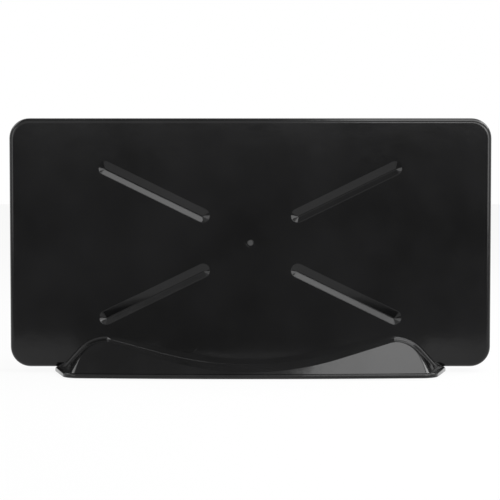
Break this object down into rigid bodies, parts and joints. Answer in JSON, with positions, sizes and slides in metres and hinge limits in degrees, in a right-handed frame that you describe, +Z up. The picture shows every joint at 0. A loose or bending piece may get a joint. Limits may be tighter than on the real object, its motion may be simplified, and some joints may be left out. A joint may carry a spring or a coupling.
{
  "type": "desktop tv antenna",
  "caption": "Flat indoor television antenna in glossy black plastic, with four grooves in an X on its panel, standing on a low humped foot.",
  "frame": {"origin": "on the table, under the middle of the foot", "axes": "+X along the panel to the right seen from the grooved face, -Y out of the grooved face, +Z up"},
  "size_m": [0.24, 0.08, 0.1268],
  "materials": {
    "cover_plastic": "glossy black moulding with fine scuffs",
    "base_plastic": "matt black",
    "foot_rubber": "matt",
    "grommet_rubber": "satin black",
    "element_aluminium": "stamped sheet",
    "board_laminate": "solder mask over laminate",
    "ferrite": "sintered ferrite",
    "copper_wire": "enamelled",
    "capacitor_coat": "dipped",
    "terminal_brass": "plain",
    "screw_steel": "zinc plated",
    "spring_steel": "hardened",
    "pad_foam": "open-cell foam",
    "ballast_steel": "raw bar"
  },
  "bodies": {
    "root": {"front_cover": "cover_plastic", "rear_cover": "cover_plastic", "base_plate": "base_plastic", "left_element": "element_aluminium", "right_element": "element_aluminium", "feed_board": "board_laminate", "balun_core": "ferrite", "arm_winding": "copper_wire", "cable_winding": "copper_wire", "left_capacitor": "capacitor_coat", "right_capacitor": "capacitor_coat", "signal_terminal": "terminal_brass", "ground_terminal": "terminal_brass", "feed_screws": "screw_steel", "feed_washers": "spring_steel", "board_screws": "screw_steel", "arm_push_nuts": "spring_steel", "foam_pads": "pad_foam", "cover_screws": "screw_steel", "base_screws": "screw_steel", "left_ballast": "ballast_steel", "right_ballast": "ballast_steel", "ballast_screws": "screw_steel", "front_left_foot": "foot_rubber", "front_right_foot": "foot_rubber", "rear_left_foot": "foot_rubber", "rear_right_foot": "foot_rubber", "inlet_grommet": "grommet_rubber"}
  },
  "joints": []
}
